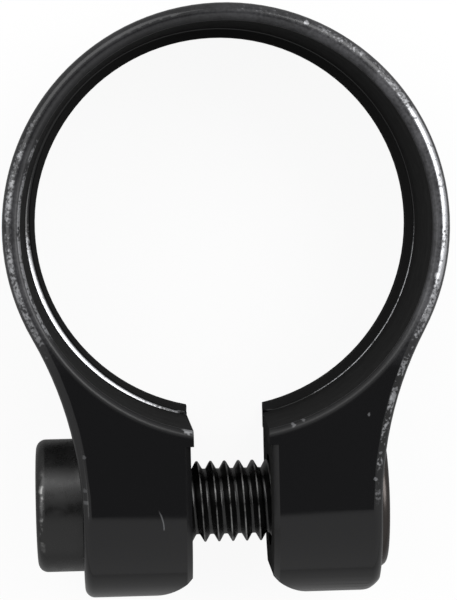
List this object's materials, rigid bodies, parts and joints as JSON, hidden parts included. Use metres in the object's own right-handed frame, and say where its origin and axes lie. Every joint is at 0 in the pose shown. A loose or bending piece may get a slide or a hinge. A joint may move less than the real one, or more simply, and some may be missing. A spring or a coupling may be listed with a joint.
{
  "type": "seatpost clamp",
  "caption": "Split collar with round-ended ears, a lip that stops the seat tube, and a socket cap bolt and round nut that draw the ears together.",
  "frame": {"origin": "centre of the bore at the shoulder where the end of the seat tube stops", "axes": "+Z along the bore, out of the mouth that takes the seat tube; -Y towards the ears; +X along the bolt from its head to its nut"},
  "size_m": [0.031, 0.0419, 0.0133],
  "materials": {
    "collar_black": "satin black paint, worn bright along its edges",
    "bolt_steel": "black oxide, lightly oiled",
    "nut_steel": "black oxide, rubbed"
  },
  "bodies": {
    "collar": {"seat_collar": "collar_black"},
    "bolt": {"clamp_bolt": "bolt_steel"},
    "nut": {"round_nut": "nut_steel"}
  },
  "joints": [
    {"name": "bolt_turn", "type": "hinge", "parent": "collar", "child": "bolt", "pos_m": [0, -0.01979, 0.00535], "axis": [-1, 0, 0], "range_deg": [0, 1080]},
    {"name": "nut_travel", "type": "slide", "parent": "collar", "child": "nut", "axis": [1, 0, 0], "range_m": [0, 0.003]}
  ],
  "couplings": [
    {"joint": "nut_travel", "follows": "bolt_turn", "m_per_rad": 0.00015915}
  ]
}
